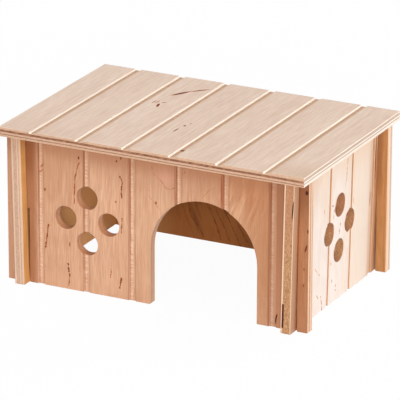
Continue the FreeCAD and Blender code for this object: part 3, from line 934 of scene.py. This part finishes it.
mark(front_wall, (-61.4, 57.4), (0.7, 1.8), (150, 96, 70), 0.4, turn=50, side="Groove Floor")
mark(front_wall, (78.2, 69.3), (0.9, 1.3), (88, 40, 22), 0.9)
mark(front_wall, (79.0, 50.5), (0.45, 1.4))
mark(front_wall, (78.1, 42.0), (0.5, 2.4), turn=14)
mark(front_wall, (77.2, 31.6), (0.35, 0.9), strength=0.6)
mark(front_wall, (77.0, 23.6), (0.35, 0.9), strength=0.6)
mark(front_wall, (62.9, 4.2), (0.6, 3.3), (52, 18, 10), 0.95, turn=9, bend=0.5, side="Milled Face",
     softness=0.35, ragged=0.3)
finish_timber(front_wall, "front_wall", front_sheen)
sand_arrises("front_wall")

# --------------------------------------
# Back wall
# The plain fourth board, slotted like the front one. Its inner veneer is a golden brown sheet
# with dark heart veins, and its outer face matches the front.
# --------------------------------------
back_face = 0.04695
back_tones = dict(front_tones, back=((189, 135, 86), (158, 106, 60)))
back_wall = start_timber("back_wall_plywood", (-1, 0, 0), (0, 0, 1), (0, 1, 0), (0, back_face, 0))
lay_plies(back_wall, front_glues, back_tones, front_grooves, front_figure, seed=17.0)
stripe(back_wall, -67.0, 67.0, (160, 93, 36), 0.75, side="Back")
streaks(back_wall, (18.0, 16.0), (26.0, 22.0), 22, 1.6, 16.0, (120, 66, 32), 0.5, 3.0, "Back")
cloud(back_wall, (23.5, 11.0), (2.6, 14.0), (98, 50, 16), 0.6, turn=25, side="Back")
cloud(back_wall, (44.0, 8.0), (12.0, 14.0), (200, 130, 74), 0.3, side="Back")
cloud(back_wall, (3.0, 12.0), (6.0, 14.0), (200, 130, 74), 0.2, side="Back")
heart_brown = (110, 60, 20)
heart_dark = (104, 54, 18)
for points, half_width, shade, strength in (
        (((18.5, 24.0), (15.8, 19.1), (12.9, 12.2), (9.3, 2.1)), 0.4, heart_brown, 0.4),
        (((13.5, 21.0), (11.0, 15.5), (7.7, 9.2), (4.3, 1.3)), 0.35, heart_brown, 0.3),
        (((10.0, 22.0), (7.2, 17.2), (3.8, 10.9), (-0.1, 3.1), (-1.2, 0.7)), 0.35, heart_dark, 0.4),
        (((2.0, 16.0), (-1.5, 9.0), (-5.0, 3.0)), 0.3, heart_dark, 0.35),
        (((27.5, 20.0), (26.1, 12.2), (21.5, 7.2), (19.0, 2.0)), 0.45, heart_brown, 0.3)):
    vein(back_wall, points, half_width, shade, strength, side="Back")
stripe(back_wall, 58.0, 70.0, (250, 190, 128), 0.85, low_fade=26.0, side="Back")
# Darker beside the right wall, deepest towards the top: painted shade on the horn's face.
band(back_wall, (-75.4, 50), (-70, over_head), (138, 86, 48), 0.55, low_fade=(2, 16), side="Back")
stripe(back_wall, -10, 10, (250, 216, 190), 0.5, side="low end")
stripe(back_wall, -1.5, 1.0, (188, 170, 156), 0.8, low_fade=0.7, side="low end")
stripe(back_wall, -6.0, -4.8, (196, 146, 104), 0.6, high_fade=0.4, side="low end")
finish_timber(back_wall, "back_wall", front_sheen)
sand_arrises("back_wall")

# --------------------------------------
# Roof battens
# Two planed softwood strips glued under the roof just inside the side walls, which keep the
# loose roof in its place. Their grain runs from front to back.
# --------------------------------------
batten_middle = 0.0645
batten_top = 0.0743
batten_wood = ((226, 190, 148), (204, 158, 112))
batten_tones = dict(side_tones, face=batten_wood, long=batten_wood, back=batten_wood)
batten_figure = dict(side_figure, growth=40.0, bands=0.9)
batten_grooves = dict(side_grooves, pitch=500.0, first=250.0)     # none falls within the batten
batten_glues = (20.0, 21.0, 22.0, 23.0)                           # and no glue line either
batten_sheen = 0.02
for batten_name, batten_side, batten_seed in (("left_batten", -1, 21.0), ("right_batten", 1, 23.0)):
    batten = start_timber(batten_name + "_softwood", (1, 0, 0), (0, 1, 0), (0, 0, 1),
                          (batten_side * batten_middle, 0, batten_top))
    lay_plies(batten, batten_glues, batten_tones, batten_grooves, batten_figure, batten_seed)
    finish_timber(batten, batten_name, batten_sheen)
    sand_arrises(batten_name)

# --------------------------------------
# Roof panel
# One large plywood board, grain from front to back, milled with six plank grooves right
# across. It lies loose on the four walls and lifts off for cleaning.
# --------------------------------------
roof_face = 0.0790
roof_glues = (1.32, 2.42, 3.40, 3.76)
# The last roof tone is a painted highlight on each groove's left wall and the lit edge of its
# floor; the floor tones are partly the cross ply, partly painted shadow of the groove's right wall.
roof_tones = dict(
    face=((245, 223, 207), (221, 191, 170)), back=((244, 210, 170), (228, 190, 148)),
    long=((238, 227, 216), (229, 215, 202)), end=((210, 175, 148), (190, 150, 124)),
    cross=((172, 122, 90), (108, 66, 44)), cross_end=((200, 178, 160), (180, 156, 136)),
    floor=((218, 178, 144), (196, 150, 114)), fleck=(165, 115, 85), glue=(156, 110, 86),
    nick=(252, 242, 232))
roof_figure = dict(sway=2.5, growth=5.0, fibre=1.4, pores=0.5, patches=0.45, bands=0.1,
                   flecks=0.15, glue=0.55)
roof_grooves = dict(front_grooves, nick_to=0.6, shading_low=0.9, floor_from=3.4, floor_to=1.5,
                    floor=1.0)
roof_sheen = 0.04
roof_panel = start_timber("roof_plywood", (1, 0, 0), (0, 1, 0), (0, 0, 1), (0, 0, roof_face))
lay_plies(roof_panel, roof_glues, roof_tones, roof_grooves, roof_figure, seed=29.0,
          drift=-0.0032, end_rise=0.9)
cloud(roof_panel, (76.0, -50.0), (26.0, 22.0), (214, 182, 154), 0.6)
cloud(roof_panel, (-56.0, -48.0), (40.0, 24.0), (222, 190, 168), 0.3)
for where, half, shade, strength, turn, softness, ragged in (
        ((-25.4, 29.8), (1.1, 6.6), (110, 40, 8), 1.0, 30, 0.6, 0.3),
        ((-19.2, 37.8), (0.8, 6.2), (140, 72, 30), 0.95, 42, 0.55, 0.5),
        ((-27.2, 8.8), (0.8, 3.0), (110, 40, 10), 1.0, -14, 0.55, 0.5),
        ((-31.2, 12.4), (0.45, 2.6), (160, 110, 86), 0.8, 4, 0.55, 0.5),
        ((-29.6, 13.4), (0.4, 2.2), (160, 112, 88), 0.8, 8, 0.55, 0.5),
        ((-26.4, 13.6), (0.5, 1.8), (140, 88, 64), 0.8, 40, 0.55, 0.5),
        ((-2.9, -20.0), (0.45, 3.2), (130, 76, 54), 0.95, 3, 0.55, 0.4),
        ((-2.0, -12.6), (0.7, 1.3), (120, 62, 40), 0.95, 0, 0.55, 0.4),
        ((-0.8, -8.6), (0.45, 1.2), (170, 120, 96), 0.8, 0, 0.55, 0.4)):
    mark(roof_panel, where, half, shade, strength, turn, softness=softness, ragged=ragged)
mark(roof_panel, (12.6, -43.4), (1.6, 1.5), (116, 66, 40), turn=-30, side="Groove Floor")
finish_timber(roof_panel, "roof_panel", roof_sheen)
sand_arrises("roof_panel")
